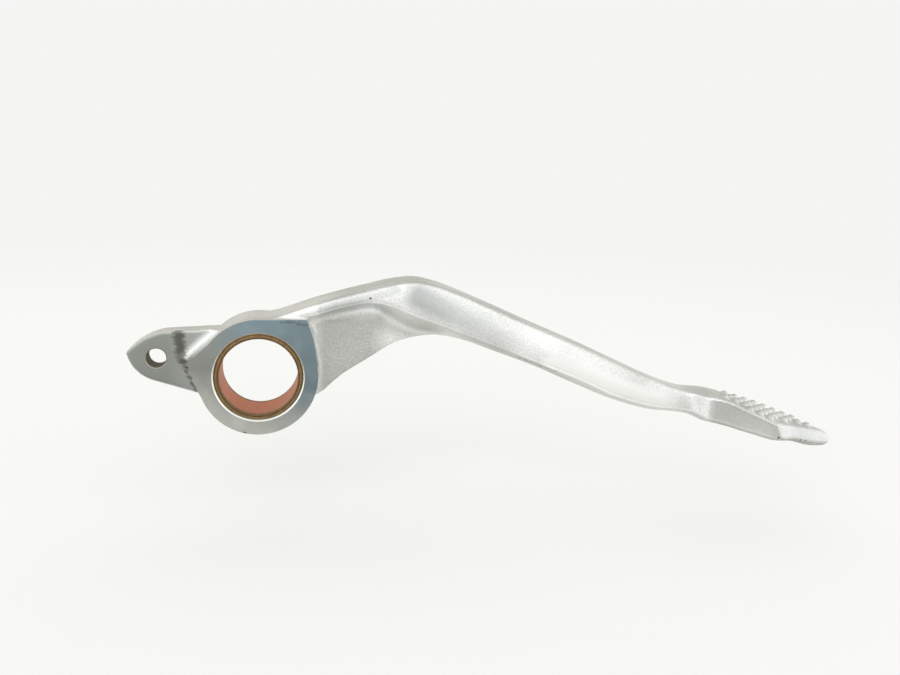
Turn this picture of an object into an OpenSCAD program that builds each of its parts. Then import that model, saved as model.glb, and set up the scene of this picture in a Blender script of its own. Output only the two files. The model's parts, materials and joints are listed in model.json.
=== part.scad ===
// Rear brake pedal: a cast aluminium lever and the plain bush pressed into its hub.
// Origin: middle of the pivot bore. +Y runs along the bore, away from the viewer and
// towards the motorcycle. +X points to the foot pad and +Z points up.

/* [Whole pedal] */
// Length from the lug's point to the end of the foot pad
overall = 232.2; // [226:0.2:242]

/* [Pivot hub] */
// Width of the hub along the bore
hub_w = 17; // [14:0.5:22]
// Outside diameter of the hub
hub_d = 37.8; // [35:0.2:42]
// Outside diameter of the bush, and so of the bore it is pressed into
bush_od = 28; // [24:0.5:30]
// Wall of the bush between its running bore and the hub
bush_wall = 1.5; // [1:0.1:3]
// How far each bush end sits below the hub face
bush_recess = 0.3; // [0.1:0.1:1]
// Chamfer at both mouths of the hub bore
bore_chamfer = 0.6; // [0.2:0.1:0.8]

/* [Clevis lug] */
// Distance from the pivot to the clevis hole
lug_reach = 32.5; // [30:0.5:38]
// Angle of the clevis hole above the line that runs back from the pivot
lug_angle = 10.3; // [4:0.1:16]
// Diameter of the clevis hole
clevis_d = 6.2; // [5:0.1:8]
// Radius of the lug around the hole
lug_r = 7.2; // [6:0.1:8]
// Distance from the hole to the pointed end
lug_point = 9.2; // [8.5:0.1:10.5]
// Thickness of the lug
lug_t = 7; // [5:0.5:8]
// How far the lug face lies behind the hub face
lug_step = 4; // [2:0.5:6]
// Radius of the cast fillet between lug face and hub
lug_fillet = 3.2; // [1:0.1:3.6]

/* [Arm] */
// Top of the arm at its bend, above the pivot
bend_rise = 31.5; // [29:0.5:34]
// Distance from the pivot to the bend
bend_x = 50; // [46:1:54]
// Depth of the web pocket behind the hub face
pocket_y = 6; // [4:0.5:8]
// How far the arm leans outboard before the foot pad
lean = 16; // [12:0.5:20]
// Radius of the cast edges
edge_r = 1.1; // [0.6:0.1:1.4]
// Crown of the arm's outboard face, as a share of its height
crown = 0.045; // [0:0.005:0.06]

/* [Foot pad] */
// Length of the foot pad, from where it leaves the arm to its end
pad_length = 42; // [40:1:46]
// Drop of the pad surface for each mm towards the end
pad_fall = 0.45; // [0.35:0.01:0.55]
// Rise of the pad surface for each mm inboard
pad_bank = 0.14; // [0.08:0.01:0.2]
// How far the pad stands outboard of the hub face
pad_out = 26; // [24:0.5:28]
// Distance between studs along and across the pad
stud_pitch = 3.9; // [3.4:0.1:5]
// Diameter of a stud at its foot
stud_d = 3.2; // [2.2:0.1:3.3]
// Height of a stud
stud_h = 1.2; // [0.8:0.1:1.6]

/* [Hidden] */
$fn = 96;
hub_r = hub_d / 2;
bore_r = bush_od / 2;
run_r = bore_r - bush_wall;
eps = 0.5;
lug_x = -lug_reach * cos(lug_angle);
lug_z = lug_reach * sin(lug_angle);
pad_end = overall + lug_x - lug_point;
pad_root = pad_end - pad_length;
pad_root_z = -3.3;
pad_turn = pad_end - 26;
pad_ease = 0.17;
lug_web = [[-hub_r - 3.8, 4.5], [-hub_r * 0.5, hub_r * 0.867]];
hub_edge = [[hub_r * 0.815, hub_r], [hub_r * 0.92, hub_r * 0.66], [hub_r, hub_r * 0.2]];

// Arm stations. Each row is one upright slice of the casting, from the hub to the pad end:
// x, top, foot of the front face, step, underside, then how far behind the hub face lie the
// top of the front face, its foot, the step and the back, and last the bank of the top.
arm_rows = [
    [0, hub_r - 0.7, hub_r - 2, hub_r - 3, hub_r - 4.5, 1.3, 1.1, pocket_y, hub_w - 1, 0],
    [8, hub_r + 1.4, hub_r - 0.4, hub_r - 3, 4, 1.3, 1.1, pocket_y, hub_w - 0.8, 0],
    [17, hub_r + 4.5, hub_r + 1, hub_r - 1.2, -8.2, 1.2, 0.9, pocket_y, hub_w - 0.8, 0],
    [26.5, bend_rise - 5.3, bend_rise - 8.9, bend_rise - 11.2, -1.1, 0.9, 0.5, pocket_y, hub_w - 1.2, 0],
    [36.5, bend_rise - 2.6, bend_rise - 7, bend_rise - 9.5, 5.2, 0, -0.6, pocket_y - 0.2, hub_w - 2.2, 0],
    [43, bend_rise - 0.9, bend_rise - 8.2, bend_rise - 13.5, 9.4, -0.7, -1.6, pocket_y - 0.5, hub_w - 3.2, 0],
    [bend_x, bend_rise, bend_rise - 10.9, bend_rise - 17, 11.8, -1.4, -2.6, pocket_y - 1, hub_w - 4.4, 0],
    [bend_x + 7, bend_rise - 1.3, 18, 14, 12.8, -2.6, -3.8, 4, 11.4, 0],
    [arm_x(0.15), 27.5, 15.2, 12.6, 11.9, -0.3 * lean + 0.6, -0.3 * lean - 0.6, 1.6, 9.6, 0],
    [arm_x(0.25), 23.5, 11.7, 9.5, 8.8, -0.42 * lean + 0.6, -0.42 * lean - 0.6, -0.8, 7.4, 0],
    [arm_x(0.4), 17.3, 6.2, 4.4, 3.7, -0.6 * lean + 0.6, -0.6 * lean - 0.6, -4, 3.8, 0],
    [arm_x(0.535), 11.9, 1, -1.2, -1.9, -0.73 * lean + 0.6, -0.73 * lean - 0.6, -6, 0.8, 0],
    [arm_x(0.667), 6.2, -4.6, -6.3, -7, -0.86 * lean + 0.6, -0.86 * lean - 0.6, -8, -2.2, 0],
    [arm_x(0.8), 0.6, -7.6, -9.5, -10.2, -0.96 * lean + 0.5, -0.96 * lean - 0.5, -9.8, -4.6, 0],
    [pad_root - 12.5, -1.75, -8.2, -9.9, -10.6, -lean + 0.2, -lean - 0.3, -11, -5.7, 0],
    [pad_root - 9.4, -2.3, -8.8, -10.3, -10.9, -lean - 0.6, -lean - 0.8, -12, -6.1, 0]
];
// Pad stations. Each gives x, the drop below the pad surface, the heights of foot, step and
// underside, how far out the three front columns lie as shares of pad_out, the back, and the
// share of the bank. Past the corner the outboard side runs slantwise to the end.
pad_rows = [
    pad_row(pad_root - 6.2, 1.7, [-9.6, -10.8, -11.1], [0.862, 0.823, 0.769], -6.3, -0.15),
    pad_row(pad_root, 0, [-11.3, -12, -12.3], [0.923, 0.877, 0.823], -6.7, 0),
    pad_row(pad_root + 5, 0, [-12.8, -13.5, -13.8], [0.95, 0.904, 0.85], -7.1, 0.3),
    pad_row(pad_turn - 5, 0, [-14.5, -15.2, -15.5], [0.977, 0.931, 0.877], -7.7, 0.7),
    pad_row(pad_turn, 0, [-15.7, -16.6, -16.9], [0.992, 0.962, 0.908], -8.2, 1),
    pad_row(pad_turn + 1.6, 0, [-15.9, -16.9, -17.2], [0.969, 0.966, 0.9], -8.4, 0.95),
    pad_row(pad_turn + 8, 0, [-16.7, -18, -18.3], [0.854, 0.877, 0.808], -9, 0.7),
    pad_row(pad_end - 11, 0, [-18.7, -20.4, -20.8], [0.727, 0.758, 0.688], -9.8, 0.4),
    pad_row(pad_end - 5, 0, [-20.3, -22, -22.4], [0.615, 0.646, 0.577], -10.5, 0),
    pad_row(pad_end - 1.2, 0.5, [-20.9, -22.3, -22.6], [0.562, 0.585, 0.538], -11.2, 0),
    pad_row(pad_end, 1.3, [-21, -22, -22.2], [0.538, 0.554, 0.523], -12, 0)
];
rows = concat(arm_rows, pad_rows);
last = len(rows) - 1;
slices = concat(
    [for (x = [0:3:bend_x - 11]) x],
    [for (x = [bend_x - 8:2:bend_x + 8]) x],
    [for (x = [bend_x + 11:4:pad_root - 16]) x],
    [for (x = [pad_root - 13:1:pad_root - 1]) x],
    [for (x = [pad_root + 2:3:pad_turn - 5]) x],
    [for (x = [pad_turn - 3:1:pad_turn + 7]) x],
    [for (x = [pad_turn + 9:3:pad_end - 5]) x],
    [pad_end - 3, pad_end - 1.6, pad_end - 0.6, pad_end]
);

// Distance from the pivot at a share of the way from the bend to the pad
function arm_x(share) = bend_x + (pad_root - bend_x) * share;

// Height of the pad surface along its outboard edge, which eases off past the pad's corner
function pad_top(x) = pad_root_z - pad_fall * (x - pad_root) + pad_ease * max(0, x - pad_turn);

// One pad station, filled out to the columns of the arm stations
function pad_row(x, drop, heights, shares, back, bank) =
    concat([x, pad_top(x) - drop], heights, -pad_out * shares, [back, pad_bank * bank]);

// Height of the top of the arm or pad at any point of it
function pad_surface(x, y) = column(x, 1) + column(x, 9) * (y - column(x, 5));

// Smooth curve through one column of the stations that never overshoots them
function rise(i, c) = (rows[i + 1][c] - rows[i][c]) / (rows[i + 1][0] - rows[i][0]);
function slope(i, c) =
    i == 0 ? rise(0, c) :
    i == last ? rise(last - 1, c) :
    let (a = rise(i - 1, c), b = rise(i, c))
    a * b <= 0 ? 0 : 2 * a * b / (a + b);
function place(x, i = 0) = i >= last - 1 || x < rows[i + 1][0] ? i : place(x, i + 1);
function column(x, c) =
    let (
        i = place(x),
        w = rows[i + 1][0] - rows[i][0],
        t = (x - rows[i][0]) / w
    )
    (2 * pow(t, 3) - 3 * pow(t, 2) + 1) * rows[i][c]
    + (pow(t, 3) - 2 * pow(t, 2) + t) * w * slope(i, c)
    + (3 * pow(t, 2) - 2 * pow(t, 3)) * rows[i + 1][c]
    + (pow(t, 3) - pow(t, 2)) * w * slope(i + 1, c);

// Rounded corner: points of a blend between the two edges that meet at b
function towards(a, b, s) = a + (b - a) * min(s / norm(b - a), 0.42);
function blend(a, b, c, r) =
    let (p = towards(b, a, r), q = towards(b, c, r))
    [for (t = [0, 1 / 3, 2 / 3, 1]) (1 - t) * (1 - t) * p + 2 * t * (1 - t) * b + t * t * q];

// One slice of the casting as y, z corners, then with every corner blended
function corners(x) =
    let (
        front = column(x, 5),
        step = column(x, 7),
        back = column(x, 8),
        bulge = crown * (column(x, 1) - column(x, 2)) * max(0, min(1, (pad_root - 6 - x) / 8))
    )
    [
        [front, column(x, 1)],
        [(front + column(x, 6)) / 2 - bulge, (column(x, 1) + column(x, 2)) / 2],
        [column(x, 6), column(x, 2)],
        [step, column(x, 3)],
        [step + 0.2, column(x, 4)],
        [back, column(x, 4)],
        [back, pad_surface(x, back)]
    ];
function slice(x) =
    let (k = corners(x), n = len(k), radii = [0.9, 4, 0.6, 2.6, 0.8, 1.6, 1.2] * edge_r)
    [for (i = [0:n - 1]) for (p = blend(k[(i + n - 1) % n], k[i], k[(i + 1) % n], radii[i])) [x, p.x, p.y]];

// Draws an x, z outline as a plate between two distances behind the hub face
module plate(y0, y1) {
    translate([0, y1, 0])
        rotate([90, 0, 0])
            linear_extrude(y1 - y0)
                children();
}

// Round bar along the bore between two distances behind the hub face
module bar(r, y0, y1) {
    plate(y0, y1)
        circle(r);
}

// Cone along the bore that opens a hole's mouth
module mouth(r, c, y, dir) {
    translate([0, y, 0])
        rotate([-90 * dir, 0, 0])
            translate([0, 0, -eps])
                cylinder(h = c + 2 * eps, r1 = r + c + eps, r2 = r - eps);
}

// Arm and foot pad: one skin over all the slices
module arm_skin() {
    ring = len(slice(0));
    n = len(slices);
    skin = [
        for (i = [0:n - 2]) for (j = [0:ring - 1])
            [i * ring + j, (i + 1) * ring + j, (i + 1) * ring + (j + 1) % ring, i * ring + (j + 1) % ring]
    ];
    ends = [
        [for (j = [0:ring - 1]) j],
        [for (j = [ring - 1:-1:0]) (n - 1) * ring + j]
    ];
    polyhedron(points = [for (x = slices) each slice(x)], faces = concat(skin, ends), convexity = 8);
}

// Hub: a round boss, drawn out to a corner towards the lug and another under the arm
module hub_outline() {
    circle(hub_r);
    polygon([lug_web[0], lug_web[1], [0, 0], [-hub_r * 0.97, -hub_r * 0.29]]);
}

module hub_corner() {
    polygon([
        [hub_r * 0.02, hub_r - 0.1],
        each hub_edge,
        [hub_r * 0.9, 0],
        [0, 0]
    ]);
}

// Points of a bow from a to c that leans towards b
function bow(a, b, c) =
    [for (t = [0:0.1:1]) (1 - t) * (1 - t) * a + 2 * t * (1 - t) * b + t * t * c];

// Pushrod lug: two bows that meet in a point at the free end, spread where it meets the hub
module lug_outline() {
    hole = [lug_x, lug_z];
    tip = hole + [-lug_point, 1.9];
    polygon([
        [-hub_r * 0.5, 0],
        [-hub_r * 0.6, hub_r * 0.81],
        each bow(hole + [lug_r * 0.36, lug_r + 1.4], hole + [-lug_r * 0.63, lug_r], tip),
        each bow(tip, hole + [-lug_r * 1.05, -lug_r * 0.67], hole + [-lug_r * 0.2, -lug_r]),
        [-hub_r * 0.93, -hub_r * 0.34]
    ]);
}

// Cast fillet that fills the step on the left of the line from a to b
module fillet_bar(a, b, floor_y, r) {
    translate([a.x, floor_y, a.y])
        rotate([0, -atan2(b.y - a.y, b.x - a.x), 0])
            rotate([90, 0, 90])
                linear_extrude(norm(b - a))
                    difference() {
                        translate([-r, -1])
                            square([r + 1, r + 1]);
                        translate([-r, r])
                            circle(r, $fn = 64);
                    }
}

// Cast fillet between the lug face and the hub, trimmed to the lug
module lug_root() {
    intersection() {
        fillet_bar(lug_web[0], lug_web[1], lug_step, lug_fillet);
        plate(-eps, lug_step + 2)
            lug_outline();
    }
}

// Cast fillet round the hub at the floor of the web pocket
module pocket_root() {
    r = 2.2;
    fillet_bar(hub_edge[0] + [0.3, -1.2], hub_edge[1], pocket_y + 0.2, r);
    fillet_bar(hub_edge[1], hub_edge[2], pocket_y + 0.2, r);
    translate([0, pocket_y + 0.2, 0])
        rotate([90, 0, 0])
            rotate([0, 0, -16])
                rotate_extrude(angle = 27)
                    difference() {
                        translate([hub_r - 1, -1])
                            square([r + 1, r + 1]);
                        translate([hub_r + r, r])
                            circle(r, $fn = 64);
                    }
}

// Foot studs: low rounded cones on a square grid, whose inner end follows the arm's slant
module studs() {
    for (row = [0:6])
        for (i = [0:14]) {
            y = -pad_out + stud_d * 0.5 + 1.6 + row * stud_pitch * 0.97;
            x = pad_root - 3 + i * stud_pitch * cos(atan(pad_fall));
            if (stud_fits(x, y))
                translate([x, y, pad_surface(x, y)])
                    rotate([atan(column(x, 9)), atan((column(x - 1, 1) - column(x + 1, 1)) / 2), 0])
                        stud();
        }
}

// True where a whole stud stands on the pad surface
function stud_fits(x, y) =
    let (m = stud_d / 2 + 0.2, far = min(x + m, pad_end))
    x - m > pad_root - 4.5 + 0.45 * (y + pad_out - 3)
    && x + m < pad_end - 1.5
    && y - m > max(column(x, 5), column(far, 5))
    && y + m < column(far, 8) + 0.3;

module stud() {
    tip_r = stud_d * 0.22;
    rotate_extrude($fn = 24)
        polygon([
            [0, -0.9],
            [stud_d / 2, -0.9],
            [stud_d / 2, 0],
            [tip_r + 0.25, stud_h * 0.86],
            [tip_r, stud_h],
            [0, stud_h]
        ]);
}

// The casting, before its hub is moved to the middle of the bore
module lever_blank() {
    arm_skin();
    plate(0, hub_w)
        hub_outline();
    plate(0, pocket_y + 3)
        hub_corner();
    plate(lug_step, lug_step + lug_t)
        lug_outline();
    lug_root();
    pocket_root();
    studs();
}

module pedal_lever() {
    color("silver")
        translate([0, -hub_w / 2, 0])
            difference() {
                lever_blank();
                bar(bore_r, -5, hub_w + 5);
                mouth(bore_r, bore_chamfer, 0, 1);
                mouth(bore_r, bore_chamfer, hub_w, -1);
                translate([lug_x, 0, lug_z])
                    bar(clevis_d / 2, -5, hub_w + 5);
            }
}

// Plain bush with a small chamfer at each running edge
module pivot_bush() {
    half = hub_w / 2 - bush_recess;
    c = bush_wall * 0.2;
    color("peru")
        rotate([90, 0, 0])
            rotate_extrude($fn = 128)
                polygon([
                    [run_r, -half + c],
                    [run_r + c, -half],
                    [bore_r, -half],
                    [bore_r, half],
                    [run_r + c, half],
                    [run_r, half - c]
                ]);
}

pedal_lever();
pivot_bush();
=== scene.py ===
"""Rear brake pedal: a bead-blasted aluminium casting with machined hub faces and a pressed-in bush."""

import json
import logging
import math
from collections.abc import Iterable
from dataclasses import dataclass, field
from enum import Enum
from functools import cached_property

import bmesh
import bpy
from mathutils import Matrix, Vector


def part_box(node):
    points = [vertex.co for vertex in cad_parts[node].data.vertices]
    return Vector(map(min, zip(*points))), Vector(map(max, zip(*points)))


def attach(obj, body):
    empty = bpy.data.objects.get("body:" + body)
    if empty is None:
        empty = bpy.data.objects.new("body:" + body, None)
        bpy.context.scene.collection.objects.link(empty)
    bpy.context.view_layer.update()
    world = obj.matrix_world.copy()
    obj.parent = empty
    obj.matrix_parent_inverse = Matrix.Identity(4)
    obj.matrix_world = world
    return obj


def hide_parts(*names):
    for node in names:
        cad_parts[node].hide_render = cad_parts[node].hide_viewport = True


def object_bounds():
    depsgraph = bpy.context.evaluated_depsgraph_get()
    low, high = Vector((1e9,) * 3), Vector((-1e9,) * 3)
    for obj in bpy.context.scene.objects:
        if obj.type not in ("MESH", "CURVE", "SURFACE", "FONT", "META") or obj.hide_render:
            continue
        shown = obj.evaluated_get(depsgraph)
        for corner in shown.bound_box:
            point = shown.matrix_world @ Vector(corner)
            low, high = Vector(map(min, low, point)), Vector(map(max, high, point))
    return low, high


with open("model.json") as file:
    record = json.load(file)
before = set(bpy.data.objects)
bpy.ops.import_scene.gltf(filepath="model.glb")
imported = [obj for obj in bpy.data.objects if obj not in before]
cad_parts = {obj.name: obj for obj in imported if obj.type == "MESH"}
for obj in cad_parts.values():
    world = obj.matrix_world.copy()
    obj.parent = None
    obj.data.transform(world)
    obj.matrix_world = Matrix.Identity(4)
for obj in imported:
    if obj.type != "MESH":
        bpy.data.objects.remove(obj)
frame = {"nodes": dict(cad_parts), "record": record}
cad_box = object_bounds()

log = logging.getLogger("brake_pedal")
MM = 0.001
WELD = 1e-6  # metres within which two corners of a mesh are one
SPIN_WELD = 1e-7  # the same, where a spun ring closes
LEVEL = 1e-5  # metres within which a face lies on a plane

Pair = tuple[float, float]
Triple = tuple[float, float, float]
Socket = bpy.types.NodeSocket
Tree = bpy.types.NodeTree


class Side(Enum):
    """End of the hub bore, as the direction in which it faces along Y."""

    OUTBOARD = -1
    INBOARD = 1


class Tone(Enum):
    """Colour of a mark on the casting: dirt, oil and pits, or painted shade, reflection and highlight."""

    # the first two tones are painted shade and reflection, the third a painted highlight, and the fourth dirt
    # and painted shade
    REFLECTION_SHADE = "989c9c"
    PAINTED_SHADE = "a9aba4"
    PAINTED_HIGHLIGHT = "fcfdfc"
    DIRT_AND_SHADE = "5f615a"
    OIL = "6a5f49"
    PIT = "3a3a36"


# Mesh helpers


def new_object(name: str, mesh: bpy.types.Mesh) -> bpy.types.Object:
    """Links a mesh into the scene as an object at the origin.

    Args:
        name: Name of the object.
        mesh: Its mesh.

    Returns:
        The new object.
    """
    piece = bpy.data.objects.new(name, mesh)
    bpy.context.scene.collection.objects.link(piece)
    return piece


def from_bmesh(name: str, bm: bmesh.types.BMesh) -> bpy.types.Object:
    """Writes a bmesh to a new object and frees it.

    Args:
        name: Name of the object and of its mesh.
        bm: The shape.

    Returns:
        The new object.
    """
    mesh = bpy.data.meshes.new(name)
    bm.to_mesh(mesh)
    bm.free()
    return new_object(name, mesh)


def apply_modifiers(piece: bpy.types.Object) -> None:
    """Bakes the object's modifiers into its mesh.

    Args:
        piece: The object that has the modifiers.
    """
    bpy.context.view_layer.update()
    solid = piece.evaluated_get(bpy.context.evaluated_depsgraph_get())
    mesh = bpy.data.meshes.new_from_object(solid)
    piece.modifiers.clear()
    piece.data = mesh


def revolve(name: str, outline: list[Pair], steps: int) -> bpy.types.Object:
    """Spins a closed outline round the Y axis.

    Args:
        name: Name of the object.
        outline: Radius and distance along Y of each corner, in metres.
        steps: Number of steps in the full turn.

    Returns:
        The closed ring or bar.
    """
    bm = bmesh.new()
    corners = [bm.verts.new((radius, along, 0)) for radius, along in outline]
    edges = [bm.edges.new((corners[i], corners[(i + 1) % len(corners)])) for i in range(len(corners))]
    bmesh.ops.spin(
        bm, geom=corners + edges, cent=(0, 0, 0), axis=(0, 1, 0), dvec=(0, 0, 0), angle=math.tau,
        steps=steps, use_merge=True, use_normal_flip=False, use_duplicate=False,
    )
    bmesh.ops.remove_doubles(bm, verts=bm.verts, dist=SPIN_WELD)
    bmesh.ops.recalc_face_normals(bm, faces=bm.faces)
    return from_bmesh(name, bm)


def mirrored(end: list[Pair]) -> list[Pair]:
    """Completes an outline that is the same at both of its ends along Y.

    Args:
        end: Radius and distance along Y of each corner on the positive side.

    Returns:
        The whole outline, the negative side first.
    """
    return [(radius, -along) for radius, along in reversed(end)] + end


# Material helpers


def metres(sizes_mm: Iterable[float]) -> list[float]:
    """Turns sizes in millimetres into metres."""
    return [size * MM for size in sizes_mm]


def linear(hex_colour: str) -> tuple[float, float, float, float]:
    """Turns an sRGB hex colour into Blender's linear RGBA.

    Args:
        hex_colour: Six hex digits, such as "c8cac5".

    Returns:
        Red, green, blue and alpha from 0 to 1.
    """
    parts = [int(hex_colour[i:i + 2], 16) / 255 for i in (0, 2, 4)]
    red, green, blue = (c / 12.92 if c <= 0.04045 else ((c + 0.055) / 1.055) ** 2.4 for c in parts)
    return red, green, blue, 1.0


def add(tree: Tree, kind: str, inputs: dict | None = None, **settings) -> bpy.types.Node:
    """Adds one node with its settings, values and links.

    Args:
        tree: Node tree that the node goes into.
        kind: Blender's type name of the node.
        inputs: Input name or number, to a value or to the output socket that feeds it.
        **settings: Properties of the node itself.

    Returns:
        The new node.
    """
    node = tree.nodes.new(kind)
    for name, value in settings.items():
        setattr(node, name, value)
    for key, value in (inputs or {}).items():
        if isinstance(value, Socket):
            tree.links.new(value, node.inputs[key])
        else:
            node.inputs[key].default_value = value
    return node


def overlap(tree: Tree, spans: list[tuple], strength: Socket | float = 1.0) -> Socket:
    """Gives a mask of the place where several limits are kept at once.

    Args:
        tree: Node tree that the mask goes into.
        spans: For each limit its value, where the mask begins and where it is full.
        strength: What the mask reaches where all of them are full.

    Returns:
        The mask.
    """
    mask = strength
    for value, begins, full in spans:
        inputs = {"Value": value, "From Min": begins, "From Max": full, "To Max": mask}
        mask = add(tree, "ShaderNodeMapRange", inputs).outputs["Result"]
    return mask


def new_material(name: str) -> tuple[bpy.types.Material, Tree, bpy.types.Node]:
    """Makes a material on the Principled shader.

    Args:
        name: Its name.

    Returns:
        The material, its node tree and the shader.
    """
    material = bpy.data.materials.new(name)
    material.use_nodes = True
    return material, material.node_tree, material.node_tree.nodes["Principled BSDF"]


class Surface:
    """Where a point of the piece lies and which way it faces, as sockets of one material."""

    def __init__(self, tree: Tree) -> None:
        """Reads the piece's own coordinates.

        Args:
            tree: Node tree of the material.
        """
        self.tree = tree
        self.coordinates = add(tree, "ShaderNodeTexCoord").outputs
        self.place = self.coordinates["Object"]
        self.axes = add(tree, "ShaderNodeSeparateXYZ", {0: self.place}).outputs

    @cached_property
    def facing(self) -> bpy.types.bpy_prop_collection:
        """X, Y and Z of the direction that the surface faces."""
        return add(self.tree, "ShaderNodeSeparateXYZ", {0: self.coordinates["Normal"]}).outputs

    @cached_property
    def side_view(self) -> Socket:
        """The place with its Y left out."""
        inputs = {"X": self.axes["X"], "Z": self.axes["Z"]}
        return add(self.tree, "ShaderNodeCombineXYZ", inputs).outputs[0]

    @cached_property
    def radius(self) -> Socket:
        """Distance from the axis of the hub bore."""
        away = add(self.tree, "ShaderNodeVectorMath", {0: self.side_view}, operation="LENGTH")
        return away.outputs["Value"]


# Finishes


@dataclass(frozen=True)
class Streak:
    """A straight ragged mark on a face that looks outboard, placed in the pedal's frame in millimetres."""

    start: Pair  # X and Z
    end: Pair
    half: float
    tone: Tone
    strength: float
    fades: bool = False  # from its start to its end
    deep: bool = False  # on the floor of the web pocket too
    edge: Pair = (1.3, 0.45)  # where it begins and where it is full, as shares of its half width

    def mask(self, surface: Surface, rag: Socket, side: Socket) -> Socket:
        """Gives how much of the metal the streak covers.

        Args:
            surface: Surface that it lies on.
            rag: Distance by which its edge wanders.
            side: Mask of the faces that it may lie on.

        Returns:
            The mask, which reaches the streak's strength along its middle.
        """
        tree = surface.tree
        start, end = (Vector((x, 0, z)) * MM for x, z in (self.start, self.end))
        run = end - start
        from_start = add(tree, "ShaderNodeVectorMath", {0: surface.side_view, 1: start},
                         operation="SUBTRACT").outputs[0]
        along = add(tree, "ShaderNodeVectorMath", {0: from_start, 1: run / run.length_squared},
                    operation="DOT_PRODUCT")
        held = add(tree, "ShaderNodeMath", {0: along.outputs["Value"], 1: 0.0}, operation="ADD",
                   use_clamp=True)
        foot = add(tree, "ShaderNodeVectorMath", {0: run, "Scale": held.outputs[0]}, operation="SCALE")
        gap = add(tree, "ShaderNodeVectorMath", {0: from_start, 1: foot.outputs[0]}, operation="DISTANCE")
        reach = add(tree, "ShaderNodeMath", {0: gap.outputs["Value"], 1: rag}, operation="ADD")
        shown = add(tree, "ShaderNodeMath", {0: side, 1: self.strength}, operation="MULTIPLY")
        begins, full = (self.half * MM * share for share in self.edge)
        spans = [(reach.outputs[0], begins, full)]
        if self.fades:
            spans.append((surface.axes["X"], self.end[0] * MM, self.start[0] * MM))
        return overlap(tree, spans, shown.outputs[0])


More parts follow.
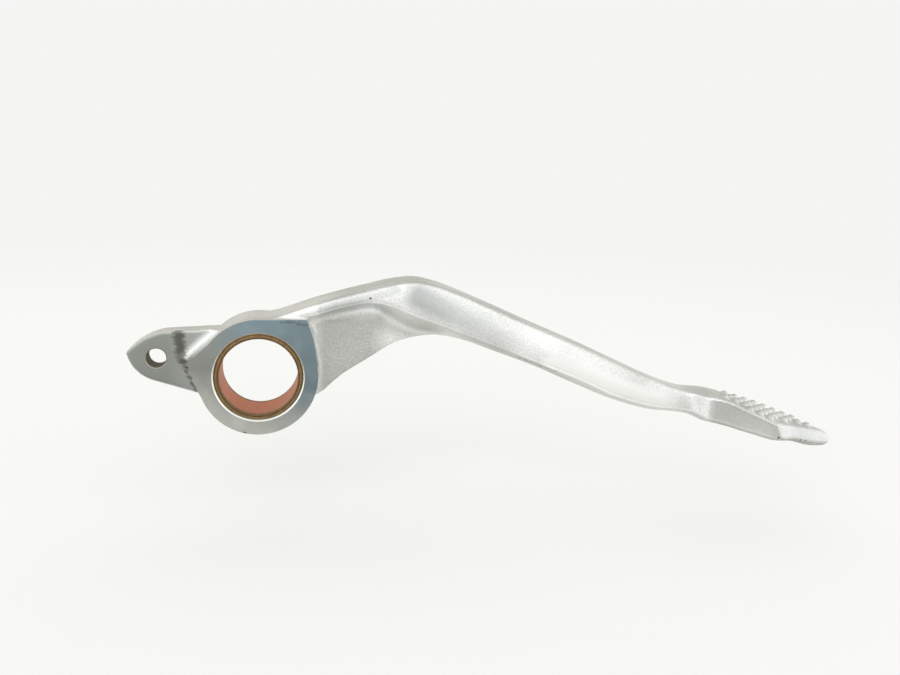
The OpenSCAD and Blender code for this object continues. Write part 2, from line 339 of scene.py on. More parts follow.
@dataclass(frozen=True)
class CastingMarks:
    """Dirt, pits, painted shade, painted reflection and painted highlights on the casting, placed in the
    pedal's frame in millimetres.

    A pair of places gives where a mark begins and where it is full.
    """

    # painted reflection and shade darken the middle of the bend, the rim over the pocket and the web past it,
    # and a painted highlight brightens the lower half of the arm
    painted_sheen_and_shade: tuple[Streak, ...] = (
        Streak((51.0, 26.8), (86.0, 9.6), 4.6, Tone.REFLECTION_SHADE, 0.75, fades=True),
        Streak((20.1, 22.1), (43.5, 28.8), 1.7, Tone.REFLECTION_SHADE, 0.42),
        Streak((40.4, 17.6), (54.9, 13.0), 4.2, Tone.PAINTED_SHADE, 0.4, deep=True),
        Streak((93.5, 6.4), (129.5, -6.0), 3.2, Tone.PAINTED_HIGHLIGHT, 0.9),
    )
    # the dirt smudge on the lug, painted shade in the corner below it at the foot of the hub's step, the
    # scuff on the hub face and the scratches at the arm's lower edge
    grime_and_shade: tuple[Streak, ...] = (
        Streak((-24.9, 13.5), (-23.8, 5.2), 1.75, Tone.DIRT_AND_SHADE, 0.9),
        Streak((-23.6, 4.5), (-19.5, -5.4), 0.875, Tone.DIRT_AND_SHADE, 0.75),
        Streak((7.5, 18.2), (14.6, 17.3), 0.4375, Tone.DIRT_AND_SHADE, 0.45),
        Streak((83.5, 7.3), (95.0, 3.1), 0.2625, Tone.DIRT_AND_SHADE, 0.6),
    )
    rag_mm: float = 1.5
    rag_stretch: Triple = (0.6, 1.0, 1.7)
    rag_swing: float = 5.0
    rag_of_painted_light: float = 0.3  # share of the swing
    outboard_of: float = -3.2  # Y that every outboard face lies beyond, apart from the pocket's floor
    outboard_turn: float = -0.1  # Y of the direction that such a face looks in
    tread_x: Pair = (148.0, 156.0)
    tread_up: Pair = (0.05, 0.5)
    tread_strength: float = 0.28
    flank_x: Pair = (143.0, 145.0)
    flank_ahead: Pair = (0.24, 0.12)
    flank_up: Pair = (0.25, 0.05)
    flank_strength: float = 0.5
    pocket_floor: tuple[tuple[str, float, float], ...] = (
        ("X", 42.0, 36.0), ("Y", -4.1, -2.9), ("Y", -0.9, -1.7), ("X", 17.0, 21.0), ("Z", 20.5, 17.5),
    )
    lug_middle: float = -1.0  # Y half way through the lug
    lug_inner: Pair = (3.0, 3.25)  # distances from there on either side of a flat
    lug_outer: Pair = (4.0, 3.75)
    lug_x: Pair = (-11.0, -12.0)
    lug_square: Pair = (0.88, 0.97)
    clevis: Triple = (-31.98, 5.81, 3.2)  # X and Z of the hole, and a radius just past its wall
    oil_strength: float = 0.92
    pit_full: float = 0.4  # share of a pit's radius
    pits: tuple[tuple[float, float, float, float], ...] = (
        (35.4, -8.9, 25.9, 0.5),
        (-4.5, -8.5, -18.3, 0.55),
        (-22.0, -8.4, 3.6, 0.5),
        (166.4, -33.5, -15.5, 0.5),
        (176.8, -29.3, -18.1, 0.5),
        (179.2, -28.3, -18.6, 0.35),
        (182.4, -26.4, -20.0, 0.35),
    )  # X, Y, Z and radius

    def pocket(self, surface: Surface) -> Socket:
        """Gives a mask of the floor of the web pocket, which fades out towards the bend.

        Args:
            surface: Surface that it lies on.

        Returns:
            The mask.
        """
        return overlap(surface.tree, [
            (surface.axes[axis], *metres(span)) for axis, *span in self.pocket_floor
        ])

    def flats(self, surface: Surface) -> Socket:
        """Gives a mask of the two milled flats of the lug.

        Args:
            surface: Surface that they lie on.

        Returns:
            The mask, which fades out on the rounded edges.
        """
        tree, y = surface.tree, surface.axes["Y"]
        shifted = add(tree, "ShaderNodeMath", {0: y, 1: self.lug_middle * MM}, operation="SUBTRACT")
        off = add(tree, "ShaderNodeMath", {0: shifted.outputs[0]}, operation="ABSOLUTE").outputs[0]
        square = add(tree, "ShaderNodeMath", {0: surface.facing["Y"]}, operation="ABSOLUTE").outputs[0]
        return overlap(tree, [
            (off, *metres(self.lug_inner)),
            (off, *metres(self.lug_outer)),
            (square, *self.lug_square),
            (surface.axes["X"], *metres(self.lug_x)),
        ])

    def oiled(self, surface: Surface) -> Socket:
        """Gives a mask over the wall of the clevis hole, where old oil has browned.

        Args:
            surface: Surface that it lies on.

        Returns:
            The mask.
        """
        tree = surface.tree
        x, z, radius = metres(self.clevis)
        off = add(tree, "ShaderNodeVectorMath", {0: surface.side_view, 1: (x, 0, z)}, operation="DISTANCE")
        wall = add(tree, "ShaderNodeMath", {0: off.outputs["Value"], 1: radius}, operation="LESS_THAN")
        inputs = {0: wall.outputs[0], 1: self.oil_strength}
        return add(tree, "ShaderNodeMath", inputs, operation="MULTIPLY").outputs[0]

    def pad_shade(self, surface: Surface, front: Socket) -> tuple[Socket, Socket]:
        """Gives masks of painted shade that greys the pad.

        Args:
            surface: Surface that the wear lies on.
            front: Mask of the outboard faces.

        Returns:
            The tread, and the side of the pad up to its end facet.
        """
        tree, facing, x = surface.tree, surface.facing, surface.axes["X"]
        # painted shade: the tread that faces up and the side of the pad are greyed
        tread = overlap(tree, [
            (facing["Z"], *self.tread_up),
            (x, *metres(self.tread_x)),
        ], self.tread_strength)
        worn = add(tree, "ShaderNodeMath", {0: front, 1: self.flank_strength}, operation="MULTIPLY")
        flank = overlap(tree, [
            (facing["X"], *self.flank_ahead),
            (x, *metres(self.flank_x)),
            (facing["Z"], *self.flank_up),
        ], worn.outputs[0])
        return tread, flank

    def paint(self, surface: Surface, clean: Socket) -> Socket:
        """Lays the marks, dirt, pits and painted shade, reflection and highlight, over the clean metal.

        Args:
            surface: Surface that they lie on.
            clean: Colour of the clean metal.

        Returns:
            The marked colour.
        """
        tree = surface.tree
        stretched = add(tree, "ShaderNodeMapping", {"Vector": surface.place, "Scale": self.rag_stretch})
        wander = add(tree, "ShaderNodeTexNoise", {
            "Vector": stretched.outputs[0], "Scale": 1 / (self.rag_mm * MM), "Detail": 4.0, "Roughness": 0.7,
        })
        swing = self.rag_swing * MM
        ragged = add(tree, "ShaderNodeMath", {0: wander.outputs["Fac"], 1: -swing, 2: swing / 2},
                     operation="MULTIPLY_ADD").outputs[0]
        even = add(tree, "ShaderNodeMath", {0: ragged, 1: self.rag_of_painted_light},
                   operation="MULTIPLY").outputs[0]
        outer = add(tree, "ShaderNodeMath", {0: surface.axes["Y"], 1: self.outboard_of * MM},
                    operation="LESS_THAN").outputs[0]
        turned = add(tree, "ShaderNodeMath", {0: surface.facing["Y"], 1: self.outboard_turn},
                     operation="LESS_THAN").outputs[0]
        front = add(tree, "ShaderNodeMath", {0: outer, 1: turned}, operation="MULTIPLY").outputs[0]
        # painted shade, reflection and highlight first, then painted shade on the pad, then dirt with painted
        # shade, then oil and pits
        layers = [
            (mark.tone, mark.mask(surface, even, turned if mark.deep else front)) for mark in self.painted_sheen_and_shade
        ]
        layers += [(Tone.PAINTED_SHADE, mask) for mask in self.pad_shade(surface, front)]
        layers += [(mark.tone, mark.mask(surface, ragged, front)) for mark in self.grime_and_shade]
        layers.append((Tone.OIL, self.oiled(surface)))
        for *centre, radius in self.pits:
            gap = add(tree, "ShaderNodeVectorMath", {0: surface.place, 1: metres(centre)},
                      operation="DISTANCE")
            rim, full = radius * MM, radius * self.pit_full * MM
            spot = add(tree, "ShaderNodeMapRange", {
                "Value": gap.outputs["Value"], "From Min": rim, "From Max": full,
            })
            layers.append((Tone.PIT, spot.outputs["Result"]))
        colour = clean
        for tone, mask in layers:
            mix = add(tree, "ShaderNodeMix", {0: mask, 6: colour, 7: linear(tone.value)}, data_type="RGBA")
            colour = mix.outputs[2]
        return colour


@dataclass(frozen=True)
class BlastedAluminium:
    """Cast aluminium, bead blasted: a pale, even silver with a fine sparkle and no clear reflection."""

    low: str = "c6c8c6"
    high: str = "fdfefd"
    level: float = 0.62
    grain_mm: float = 0.42  # real bead marks are near 0.15 mm, drawn coarser so that they show
    grain_span: Pair = (0.38, 0.62)
    grain_share: float = 0.9
    grain_depth_mm: float = 0.12
    cloud_mm: float = 20.0
    cloud_span: Pair = (0.3, 0.7)
    roughness: float = 0.42
    roughness_swing: Pair = (-0.07, 0.09)
    # colour of the painted shade on the pocket floor
    shaded_raw_skin: str = "b0b2ac"
    sand_mm: float = 0.6
    sand_span: Pair = (0.35, 0.65)
    sand_slope: float = -0.45
    sand_level: float = 0.95
    milled_sheen: str = "b4b8b5"
    milled_shade: str = "999d97"
    milled_x_mm: Pair = (-19.0, -29.0)
    milled_rough: float = 0.33
    bump: Pair = (0.25, 0.04)  # where it is blasted and where it is milled

    def build(self, marks: CastingMarks) -> bpy.types.Material:
        """Makes the material.

        Args:
            marks: Where the dirt, pits, painted shade and painted highlights lie.

        Returns:
            The finished material.
        """
        material, tree, shader = new_material("bead_blasted_aluminium")
        surface = Surface(tree)
        grain = add(tree, "ShaderNodeTexNoise", {
            "Vector": surface.place, "Scale": 1 / (self.grain_mm * MM), "Detail": 3.0, "Roughness": 0.65,
        }).outputs["Fac"]
        cloud = add(tree, "ShaderNodeTexNoise", {
            "Vector": surface.place, "Scale": 1 / (self.cloud_mm * MM), "Detail": 1.0,
        }).outputs["Fac"]
        sand = add(tree, "ShaderNodeTexNoise", {
            "Vector": surface.place, "Scale": 1 / (self.sand_mm * MM), "Detail": 3.0, "Roughness": 0.8,
        }).outputs["Fac"]
        near, tip = metres(self.milled_x_mm)
        speckle, drift, gritty, towards_tip = (
            add(tree, "ShaderNodeMapRange", {"Value": value, "From Min": low, "From Max": high}).outputs[0]
            for value, low, high in (
                (grain, *self.grain_span), (cloud, *self.cloud_span), (sand, *self.sand_span),
                (surface.axes["X"], near, tip),
            )
        )
        shade = add(tree, "ShaderNodeMath", {0: speckle, 1: self.grain_share, 2: drift},
                    operation="MULTIPLY_ADD")
        level = add(tree, "ShaderNodeMath", {0: shade.outputs[0], 1: self.level}, operation="MULTIPLY",
                    use_clamp=True)
        clean = add(tree, "ShaderNodeMix", {0: level.outputs[0], 6: linear(self.low), 7: linear(self.high)},
                    data_type="RGBA")
        # painted shade darkens the recessed pocket floor, which also keeps the coarse speckle of the sand
        # skin
        uneven = add(tree, "ShaderNodeMath", {0: gritty, 1: self.sand_slope, 2: self.sand_level},
                     operation="MULTIPLY_ADD")
        shaded_raw_skin = add(tree, "ShaderNodeMath", {0: uneven.outputs[0], 1: marks.pocket(surface)},
                  operation="MULTIPLY")
        skin = add(tree, "ShaderNodeMix", {0: shaded_raw_skin.outputs[0], 6: clean.outputs[2], 7: linear(self.shaded_raw_skin)},
                   data_type="RGBA")
        # the flats of the lug are milled, with painted shade that darkens them towards the tip
        flats = marks.flats(surface)
        milled = add(tree, "ShaderNodeMix", {
            0: towards_tip, 6: linear(self.milled_sheen), 7: linear(self.milled_shade),
        }, data_type="RGBA")
        cut = add(tree, "ShaderNodeMix", {0: flats, 6: skin.outputs[2], 7: milled.outputs[2]},
                  data_type="RGBA")
        smooth, coarse = (self.roughness + swing for swing in self.roughness_swing)
        beads = add(tree, "ShaderNodeMapRange", {"Value": grain, "To Min": smooth, "To Max": coarse})
        rough = add(tree, "ShaderNodeMix", {0: flats, 2: beads.outputs["Result"], 3: self.milled_rough})
        blasted, faint = self.bump
        dents = add(tree, "ShaderNodeMapRange", {"Value": flats, "To Min": blasted, "To Max": faint})
        bump = add(tree, "ShaderNodeBump", {
            "Height": grain, "Strength": dents.outputs["Result"], "Distance": self.grain_depth_mm * MM,
        })
        tree.links.new(marks.paint(surface, cut.outputs[2]), shader.inputs["Base Color"])
        tree.links.new(rough.outputs[0], shader.inputs["Roughness"])
        tree.links.new(bump.outputs["Normal"], shader.inputs["Normal"])
        shader.inputs["Metallic"].default_value = 1.0
        return material


@dataclass(frozen=True)
class MachinedAluminium:
    """Faced and bored aluminium: a darker, smoother grey with the faint rings of the cutter, and a painted
    highlight towards the hub's foot and at the bore's mouth.
    """

    # upper is the painted shade of the face and lower its painted highlight
    upper: str = "99aeb8"
    near_lug: str = "a8aba6"
    near_lug_x_mm: Pair = (-5.0, -15.0)
    lower: str = "f8f9f4"
    slant: float = 0.23
    slant_span_mm: Pair = (-0.3, -17.5)
    blotch_mm: float = 7.0
    blotch: float = 0.3
    ring_mm: float = 0.35
    ring_depth_mm: float = 0.04
    ring_bump: float = 0.12
    mouth_mm: Pair = (14.7, 14.55)
    roughness: float = 0.25
    roughness_swing: Pair = (-0.04, 0.05)
    oiled_rough: float = 0.8

    def build(self, marks: CastingMarks) -> bpy.types.Material:
        """Makes the material, with cutter rings round the bore axis.

        Args:
            marks: Where the dirt, pits, painted shade and painted highlights lie.

        Returns:
            The finished material.
        """
        material, tree, shader = new_material("machined_aluminium")
        surface = Surface(tree)
        x, z = surface.axes["X"], surface.axes["Z"]
        outwards = add(tree, "ShaderNodeCombineXYZ", {"X": surface.radius})
        rings = add(tree, "ShaderNodeTexNoise", {
            "Vector": outwards.outputs[0], "Scale": 1 / (self.ring_mm * MM), "Detail": 2.0,
        }).outputs["Fac"]
        soft = add(tree, "ShaderNodeTexNoise", {
            "Vector": surface.place, "Scale": 1 / (self.blotch_mm * MM), "Detail": 5.0, "Roughness": 0.6,
        }).outputs["Fac"]
        slanted = add(tree, "ShaderNodeMath", {0: x, 1: self.slant, 2: z}, operation="MULTIPLY_ADD")
        fall, mouth, beside = (
            add(tree, "ShaderNodeMapRange", {"Value": value, "From Min": begins, "From Max": full}).outputs[0]
            for value, (begins, full) in (
                (slanted.outputs[0], metres(self.slant_span_mm)),
                (surface.radius, metres(self.mouth_mm)),
                (x, metres(self.near_lug_x_mm)),
            )
        )
        # painted highlight: the face is brighter towards the foot of the hub, in uneven patches, and so is
        # the chamfer at the bore's mouth
        patches = add(tree, "ShaderNodeMath", {0: soft, 1: self.blotch, 2: -self.blotch / 2},
                      operation="MULTIPLY_ADD")
        foot = add(tree, "ShaderNodeMath", {0: fall, 1: patches.outputs[0]}, operation="ADD", use_clamp=True)
        bright = add(tree, "ShaderNodeMath", {0: foot.outputs[0], 1: mouth}, operation="MAXIMUM")
        faced = add(tree, "ShaderNodeMix", {0: beside, 6: linear(self.upper), 7: linear(self.near_lug)},
                    data_type="RGBA")
        clean = add(tree, "ShaderNodeMix", {0: bright.outputs[0], 6: faced.outputs[2], 7: linear(self.lower)},
                    data_type="RGBA")
        # dried oil on the wall of the clevis hole hides the metal
        oiled = marks.oiled(surface)
        bare = add(tree, "ShaderNodeMath", {0: 1.0, 1: oiled}, operation="SUBTRACT")
        smooth, coarse = (self.roughness + swing for swing in self.roughness_swing)
        cut = add(tree, "ShaderNodeMapRange", {"Value": soft, "To Min": smooth, "To Max": coarse})
        rough = add(tree, "ShaderNodeMix", {0: oiled, 2: cut.outputs["Result"], 3: self.oiled_rough})
        bump = add(tree, "ShaderNodeBump", {
            "Height": rings, "Strength": self.ring_bump, "Distance": self.ring_depth_mm * MM,
        })
        tree.links.new(marks.paint(surface, clean.outputs[2]), shader.inputs["Base Color"])
        tree.links.new(bare.outputs[0], shader.inputs["Metallic"])
        tree.links.new(rough.outputs[0], shader.inputs["Roughness"])
        tree.links.new(bump.outputs["Normal"], shader.inputs["Normal"])
        return material


@dataclass(frozen=True)
class BushMetal:
    """Plain bush: a brown oxidised bronze back and a copper-pink running layer."""

    back: str = "947a56"
    lining: str = "d6815d"
    dirt_and_shadow: str = "46381f"
    lining_r_mm: float = 12.95
    lining_blur_mm: float = 0.03
    mouth_mm: Pair = (6.7, 6.9)  # distance along the bore at which the lining has worn through
    wear_mm: float = 1.6
    wear_span: Pair = (0.35, 0.7)
    wear_reach_mm: float = 1.0
    wear_depth_mm: float = 0.05
    wear_bump: float = 0.15
    seam_mm: Pair = (0.16, 0.06)
    seam_strength: float = 0.75
    mottle: Pair = (0.22, 0.55)  # on the lining and on the bronze
    # painted shadow in the gap where the bush meets the hub
    rim_shadow_mm: Pair = (13.68, 13.88)
    rim_shadow_strength: float = 0.65
    roughness: float = 0.42
    metallic: float = 0.85

    def build(self) -> bpy.types.Material:
        """Makes the material, coloured by the distance from the bore axis.

        Returns:
            The finished material.
        """
        material, tree, shader = new_material("bronze_backed_bush")
        surface = Surface(tree)
        wear = add(tree, "ShaderNodeTexNoise", {
            "Vector": surface.place, "Scale": 1 / (self.wear_mm * MM), "Detail": 5.0, "Roughness": 0.7,
        }).outputs["Fac"]
        lining_r, blur = metres((self.lining_r_mm, self.lining_blur_mm))
        # the running layer has worn off the mouth, down to the bronze
        depth = add(tree, "ShaderNodeMath", {0: surface.axes["Y"]}, operation="ABSOLUTE")
        worn = add(tree, "ShaderNodeMath", {0: wear, 1: self.wear_reach_mm * MM, 2: depth.outputs[0]},
                   operation="MULTIPLY_ADD")
        back, mouth = (
            add(tree, "ShaderNodeMapRange", {"Value": value, "From Min": begins, "From Max": full}).outputs[0]
            for value, begins, full in (
                (surface.radius, lining_r - blur, lining_r + blur),
                (worn.outputs[0], *metres(self.mouth_mm)),
            )
        )
        bronze = add(tree, "ShaderNodeMath", {0: back, 1: mouth}, operation="MAXIMUM").outputs[0]
        metal = add(tree, "ShaderNodeMix", {0: bronze, 6: linear(self.lining), 7: linear(self.back)},
                    data_type="RGBA")
        # darker along the edge of the lining, dirt in blotches, and painted shadow darkens the ring where the
        # bush meets the hub
        off_seam = add(tree, "ShaderNodeMath", {0: surface.radius, 1: lining_r}, operation="SUBTRACT")
        near = add(tree, "ShaderNodeMath", {0: off_seam.outputs[0]}, operation="ABSOLUTE")
        on_lining, on_bronze = self.mottle
        mottle = add(tree, "ShaderNodeMapRange", {"Value": bronze, "To Min": on_lining, "To Max": on_bronze})
        colour = metal.outputs[2]
        for value, (begins, full), strength in (
            (near.outputs[0], metres(self.seam_mm), self.seam_strength),
            (wear, self.wear_span, mottle.outputs["Result"]),
            (surface.radius, metres(self.rim_shadow_mm), self.rim_shadow_strength),
        ):
            grime_and_shade = add(tree, "ShaderNodeMapRange", {
                "Value": value, "From Min": begins, "From Max": full, "To Max": strength,
            })
            mix = add(tree, "ShaderNodeMix", {
                0: grime_and_shade.outputs["Result"], 6: colour, 7: linear(self.dirt_and_shadow),
            }, data_type="RGBA")
            colour = mix.outputs[2]
        bump = add(tree, "ShaderNodeBump", {
            "Height": wear, "Strength": self.wear_bump, "Distance": self.wear_depth_mm * MM,
        })
        tree.links.new(colour, shader.inputs["Base Color"])
        tree.links.new(bump.outputs["Normal"], shader.inputs["Normal"])
        shader.inputs["Metallic"].default_value = self.metallic
        shader.inputs["Roughness"].default_value = self.roughness
        return material


# The pedal


def mount_named(name: str) -> dict:
    """Finds one mount in the record.

    Args:
        name: The mount's name.

    Returns:
        Its entry, with its place and its sizes.
    """
    return next(mount for mount in frame["record"]["mounts"] if mount["name"] == name)


@dataclass
class LeverCasting:
    """The one-piece lever: cast with machining stock, blasted, then faced and bored.

    The blank is a copy of the CAD node. Its edges are rounded as a casting's are, and the
    hub faces and both holes are then cut crisp at their CAD sizes.
    """

    node: str = "pedal_lever"
    voxel: float = 0.44 * MM
    smoothing: int = 2
    stud_smoothing: int = 1
    smooth_factor: float = 0.5
    pad_from: float = 146 * MM
    stock: float = 2.5 * MM
    bore_plug: float = 1.0 * MM  # how far the plug reaches into the wall
    clevis_plug: float = 0.6 * MM
    plug_sides: int = 64
    face_r: float = 27 * MM
    bore_chamfer: float = 0.6 * MM
    bore_steps: int = 192
    clevis_chamfer: float = 0.25 * MM
    clevis_steps: int = 96
    crease_deg: float = 32.0
    cast_finish: BlastedAluminium = field(default_factory=BlastedAluminium)
    cut_finish: MachinedAluminium = field(default_factory=MachinedAluminium)
    marks: CastingMarks = field(default_factory=CastingMarks)

    def __post_init__(self) -> None:
        """Takes the fitted sizes from the frame."""
        bush_low, bush_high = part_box("pivot_bush")
        self.bore_r = (bush_high[0] - bush_low[0]) / 2
        self.half_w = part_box(self.node)[1][1]
        clevis = mount_named("clevis_hole")
        self.clevis_at = Vector(clevis["pos_m"])
        self.clevis_r = clevis["dims"]["r_mm"] * MM
        self.lug_half = clevis["dims"]["length_mm"] / 2 * MM

    def blank(self) -> bpy.types.Object:
        """Copies the CAD casting, fills its holes and adds stock to the faces to be machined.

        Returns:
            The blank.
        """
        bm = bmesh.new()
        bm.from_mesh(frame["nodes"][self.node].data)
        bmesh.ops.remove_doubles(bm, verts=bm.verts, dist=WELD)
        for side in Side:
            level = side.value * self.half_w
            faces = [f for f in bm.faces if all(abs(v.co.y - level) < LEVEL for v in f.verts)]
            grown = bmesh.ops.extrude_face_region(bm, geom=faces)["geom"]
            moved = [g for g in grown if isinstance(g, bmesh.types.BMVert)]
            bmesh.ops.translate(bm, verts=moved, vec=(0, side.value * self.stock, 0))
        turn = Matrix.Rotation(math.pi / 2, 4, "X")
        for radius, depth, centre in (
            (self.bore_r + self.bore_plug, 2 * (self.half_w + self.stock), Vector()),
            (self.clevis_r + self.clevis_plug, 2 * self.lug_half, self.clevis_at),
        ):
            bmesh.ops.create_cone(
                bm, cap_ends=True, segments=self.plug_sides, radius1=radius, radius2=radius, depth=depth,
                matrix=Matrix.Translation(centre) @ turn,
            )
        return from_bmesh("lever_casting", bm)

    def cast(self, piece: bpy.types.Object) -> None:
        """Melts the blank into one skin and rounds its edges, those of the pad's studs less.

        Args:
            piece: The blank.
        """
        remesh = piece.modifiers.new("skin", "REMESH")
        remesh.mode = "VOXEL"
        remesh.voxel_size = self.voxel
        apply_modifiers(piece)
        bm = bmesh.new()
        bm.from_mesh(piece.data)
        arm = [v for v in bm.verts if v.co.x < self.pad_from]
        rounds = [bm.verts[:]] * self.stud_smoothing + [arm] * (self.smoothing - self.stud_smoothing)
        for verts in rounds:
            bmesh.ops.smooth_vert(
                bm, verts=verts, factor=self.smooth_factor, use_axis_x=True, use_axis_y=True, use_axis_z=True,
            )
        bm.to_mesh(piece.data)
        bm.free()

    def hub_tool(self) -> bpy.types.Object:
        """Makes the cutter that faces both hub ends, bores the hub and chamfers its mouths.

        Returns:
            The cutter.
        """
        reach = self.half_w + 2 * self.stock
        wide = self.bore_r + self.bore_chamfer
        step = self.half_w - self.bore_chamfer
        end = [
            (self.bore_r, step), (wide, self.half_w), (self.face_r, self.half_w), (self.face_r, reach),
            (0, reach),
        ]
        return revolve("hub_tool", mirrored(end), self.bore_steps)

    def clevis_drill(self) -> bpy.types.Object:
        """Makes the cutter that drills the clevis hole and breaks its edges.

        Returns:
            The cutter.
        """
        overrun = 2 * self.clevis_chamfer
        wide = self.clevis_r + self.clevis_chamfer + overrun
        reach = self.lug_half + overrun
        end = [(self.clevis_r, self.lug_half - self.clevis_chamfer), (wide, reach), (0, reach)]
        drill = revolve("clevis_drill", mirrored(end), self.clevis_steps)
        drill.data.transform(Matrix.Translation(self.clevis_at))
        return drill

    def machine(self, piece: bpy.types.Object, tools: list[bpy.types.Object]) -> None:
        """Cuts the casting with each tool and leaves the tool's own finish on the cut.

        Args:
            piece: The casting.
            tools: The cutters, which are used up.
        """
        for tool in tools:
            cut = piece.modifiers.new(tool.name, "BOOLEAN")
            cut.operation = "DIFFERENCE"
            cut.solver = "EXACT"
            cut.material_mode = "TRANSFER"
            cut.object = tool
            apply_modifiers(piece)
            bpy.data.objects.remove(tool)

    def dress(self) -> bpy.types.Object:
        """Builds, machines and finishes the casting.

        Returns:
            The finished piece.
        """
        piece = self.blank()
        self.cast(piece)
        piece.data.materials.append(self.cast_finish.build(self.marks))
        machined = self.cut_finish.build(self.marks)
        tools = [self.hub_tool(), self.clevis_drill()]
        for tool in tools:
            tool.data.materials.append(machined)
        self.machine(piece, tools)
        piece.data.shade_smooth()
        piece.data.set_sharp_from_angle(angle=math.radians(self.crease_deg))
        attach(piece, "root")
        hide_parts(self.node)
        return piece


@dataclass
class PivotBush:
    """The plain bush, with a broken outer edge and its running layer set a little back."""

    node: str = "pivot_bush"
    wall_lip: float = 0.38 * MM
    bore_lip: float = 0.8  # share of the wall's lip
    lining_step: float = 0.04 * MM
    lining_back: float = 0.12 * MM
    steps: int = 160
    crease_deg: float = 25.0
    finish: BushMetal = field(default_factory=BushMetal)

    def dress(self) -> bpy.types.Object:
        """Turns the bush from its section and finishes it.

        Returns:
            The finished piece.
        """
        low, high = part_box(self.node)
        outer, half = (high[0] - low[0]) / 2, high[1]
        inner = mount_named("pivot_bore")["dims"]["r_mm"] * MM
        lining_r = self.finish.lining_r_mm * MM
        lip, face = self.wall_lip, half - self.lining_back
        end = [
            (outer, half - lip), (outer - lip, half), (lining_r + self.lining_step, half),
            (lining_r, face), (inner + lip * self.bore_lip, face), (inner, face - lip),
        ]
        piece = revolve("bronze_bush", mirrored(end), self.steps)
        piece.data.materials.append(self.finish.build())
        piece.data.shade_smooth()
        piece.data.set_sharp_from_angle(angle=math.radians(self.crease_deg))
        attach(piece, "root")
        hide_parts(self.node)
        return piece


# The studio


@dataclass(frozen=True)
class Room:
    """The room that the metal sees: its levels, and the directions at which one passes into the next."""

    below: float = 0.8
    above: float = 1.0
    skirting: Pair = (-0.3, 0.1)
    behind: float = 0.74
    behind_rise: float = 0.8
    behind_span: Pair = (0.4, 1.1)
    dark: float = 0.33
    dark_toward: Triple = (-0.1, -0.95, -0.27)
    dark_span: Pair = (0.94, 0.985)
    window: float = 0.5
    window_span: Pair = (0.6, 0.95)
    window_sides: Pair = (0.88, -1.0)  # shares of X, past the pad and past the lug
    paper: float = 0.38
    paper_down: Pair = (-0.35, -0.65)
    paper_fore: Pair = (0.2, -0.3)
    paper_side: Pair = (0.3, 0.12)

    def build(self, tree: Tree, toward: Socket) -> Socket:
        """Adds the room.

        Args:
            tree: Node tree of the world.
            toward: Direction that is looked in.

        Returns:
            How bright the room is in that direction.
        """
        axes = add(tree, "ShaderNodeSeparateXYZ", {0: toward}).outputs
        # bright above, dimmer below and behind, and darkest in front, where the view comes from
        rise = add(tree, "ShaderNodeMath", {0: axes["Z"], 1: self.behind_rise, 2: axes["Y"]},
                   operation="MULTIPLY_ADD")
        aim = add(tree, "ShaderNodeVectorMath", {0: toward, 1: Vector(self.dark_toward).normalized()},
                  operation="DOT_PRODUCT")
        room = 1.0
        for value, (begins, full), low, high, ease in (
            (axes["Z"], self.skirting, self.below, self.above, "SMOOTHSTEP"),
            (rise.outputs[0], self.behind_span, 1.0, self.behind, "LINEAR"),
            (aim.outputs["Value"], self.dark_span, 1.0, self.dark, "SMOOTHSTEP"),
        ):
            part = add(tree, "ShaderNodeMapRange", {
                "Value": value, "From Min": begins, "From Max": full, "To Min": low, "To Max": high,
            }, interpolation_type=ease)
            inputs = {0: room, 1: part.outputs["Result"]}
            room = add(tree, "ShaderNodeMath", inputs, operation="MULTIPLY").outputs[0]
        # windows at both ends of the room, the one past the pad the smaller
        past_pad, past_lug = (
            add(tree, "ShaderNodeMath", {0: axes["X"], 1: share}, operation="MULTIPLY").outputs[0]
            for share in self.window_sides
        )
        across = add(tree, "ShaderNodeMath", {0: past_pad, 1: past_lug}, operation="MAXIMUM")
        begins, full = self.window_span
        glow = add(tree, "ShaderNodeMapRange", {
            "Value": across.outputs[0], "From Min": begins, "From Max": full, "To Max": self.window,
        })
        lit = add(tree, "ShaderNodeMath", {0: room, 1: glow.outputs["Result"]}, operation="ADD")
        # the pale floor is lit below and in front of the pedal
        begins, full = self.paper_down
        down = add(tree, "ShaderNodeMapRange", {"Value": axes["Z"], "From Min": begins, "From Max": full},
                   interpolation_type="SMOOTHSTEP")
        fore = overlap(tree, [(axes["Y"], *self.paper_fore), (axes["X"], *self.paper_side)], self.paper)
        inputs = {0: down.outputs["Result"], 1: fore, 2: lit.outputs[0]}
        return add(tree, "ShaderNodeMath", inputs, operation="MULTIPLY_ADD").outputs[0]


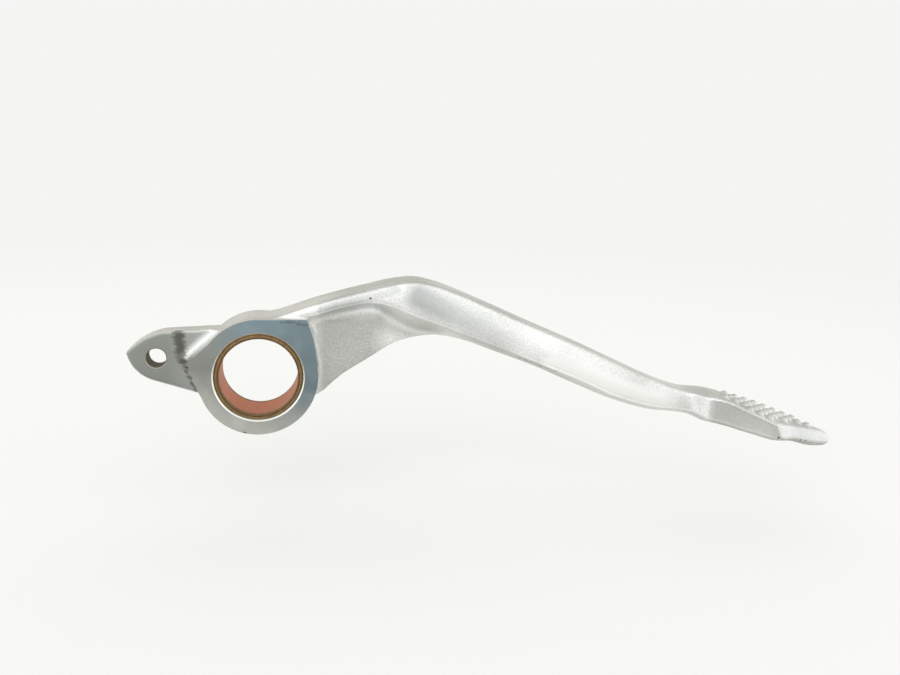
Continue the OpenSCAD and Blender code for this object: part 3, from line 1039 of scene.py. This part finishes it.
@dataclass
class Studio:
    """Pale floor, soft light and the photograph's camera."""

    eye: Triple = (15.87 * MM, -292.83 * MM, 77.29 * MM)
    heading_deg: float = 9.07
    pitch_deg: float = -10.23
    roll_deg: float = 1.62
    lens_mm: float = 36.0
    sensor_mm: float = 36.0
    frame_shift: float = -0.0417
    near_clip: float = 10 * MM
    floor_colour: str = "fafaf8"
    floor_roughness: float = 0.9
    floor_gloss: float = 0.1
    floor_size: float = 4.0
    floor_drop: float = 26 * MM
    floor_fade: Pair = (0.25, 0.8)
    surround: str = "fbfbfa"
    warm: str = "f1efe4"
    warm_span: Pair = (1.05, 0.75)
    seen: float = 0.94
    sky: float = 0.95
    room: Room = field(default_factory=Room)
    key_toward: Triple = (-0.35, -0.9, 0.3)
    key_strength: float = 0.79
    key_spread_deg: float = 67.0

    def camera(self) -> None:
        """Sets the camera at the photograph's place and angle."""
        data = bpy.data.cameras.new("camera")
        data.lens = self.lens_mm
        data.sensor_width = self.sensor_mm
        data.shift_y = self.frame_shift
        data.clip_start = self.near_clip
        rig = bpy.data.objects.new("camera", data)
        heading = Matrix.Rotation(-math.radians(self.heading_deg), 4, "Z")
        pitch = Matrix.Rotation(math.radians(90 + self.pitch_deg), 4, "X")
        roll = Matrix.Rotation(math.radians(self.roll_deg), 4, "Z")
        rig.matrix_world = Matrix.Translation(self.eye) @ heading @ pitch @ roll
        bpy.context.scene.collection.objects.link(rig)
        bpy.context.scene.camera = rig

    def floor(self) -> None:
        """Lays a wide pale floor under the lowest point of the pedal."""
        bm = bmesh.new()
        bmesh.ops.create_grid(bm, x_segments=1, y_segments=1, size=self.floor_size)
        bmesh.ops.translate(bm, verts=bm.verts, vec=(0, 0, cad_box[0][2] - self.floor_drop))
        plane = from_bmesh("floor", bm)
        material, tree, shader = new_material("matt_paper")
        shader.inputs["Base Color"].default_value = linear(self.floor_colour)
        shader.inputs["Roughness"].default_value = self.floor_roughness
        shader.inputs["Specular IOR Level"].default_value = self.floor_gloss
        # the paper runs out into the pale surround, so no horizon shows
        place = add(tree, "ShaderNodeTexCoord").outputs["Object"]
        away = add(tree, "ShaderNodeVectorMath", {0: place}, operation="LENGTH")
        near, far = self.floor_fade
        gone = add(tree, "ShaderNodeMapRange", {
            "Value": away.outputs["Value"], "From Min": near, "From Max": far,
        }, interpolation_type="SMOOTHSTEP")
        clear = add(tree, "ShaderNodeBsdfTransparent")
        fade = add(tree, "ShaderNodeMixShader", {
            0: gone.outputs["Result"], 1: shader.outputs[0], 2: clear.outputs[0],
        })
        tree.links.new(fade.outputs[0], tree.nodes["Material Output"].inputs["Surface"])
        plane.data.materials.append(material)
        plane.visible_glossy = False

    def world(self) -> None:
        """Gives a pale surround that the camera sees as near white and the metal sees as a room."""
        world = bpy.data.worlds.new("surround")
        bpy.context.scene.world = world
        world.use_nodes = True
        tree = world.node_tree
        background = tree.nodes["Background"]
        ray = add(tree, "ShaderNodeLightPath").outputs
        glossy = ray["Is Glossy Ray"]
        room = self.room.build(tree, add(tree, "ShaderNodeTexCoord").outputs["Generated"])
        lit = add(tree, "ShaderNodeMix", {0: glossy, 2: self.sky, 3: room})
        clear = add(tree, "ShaderNodeMath", {0: ray["Is Camera Ray"], 1: ray["Is Transmission Ray"]},
                    operation="MAXIMUM")
        level = add(tree, "ShaderNodeMix", {0: clear.outputs[0], 2: lit.outputs[0], 3: self.seen})
        # the dimmer parts of the room are the warmer ones
        bright, dull = self.warm_span
        dim = add(tree, "ShaderNodeMapRange", {"Value": room, "From Min": bright, "From Max": dull})
        tint = add(tree, "ShaderNodeMath", {0: dim.outputs["Result"], 1: glossy}, operation="MULTIPLY")
        colour = add(tree, "ShaderNodeMix", {
            0: tint.outputs[0], 6: linear(self.surround), 7: linear(self.warm),
        }, data_type="RGBA")
        tree.links.new(colour.outputs[2], background.inputs["Color"])
        tree.links.new(level.outputs[0], background.inputs["Strength"])

    def key_lamp(self) -> None:
        """Adds one very soft distant lamp."""
        data = bpy.data.lights.new("key", "SUN")
        data.energy = self.key_strength
        data.angle = math.radians(self.key_spread_deg)
        rig = bpy.data.objects.new("key", data)
        rig.matrix_world = Vector(self.key_toward).to_track_quat("Z", "Y").to_matrix().to_4x4()
        bpy.context.scene.collection.objects.link(rig)

    def build(self) -> None:
        """Sets up the whole studio."""
        self.camera()
        self.floor()
        self.world()
        self.key_lamp()
        bpy.context.scene.view_settings.view_transform = "Standard"


def main() -> None:
    """Builds the pedal and its studio in order."""
    logging.basicConfig(level=logging.INFO, format="%(message)s")
    for part in (LeverCasting(), PivotBush()):
        piece = part.dress()
        log.info("%s: %d faces", piece.name, len(piece.data.polygons))
    Studio().build()
    log.info("studio ready")


if __name__ == "__main__":
    main()
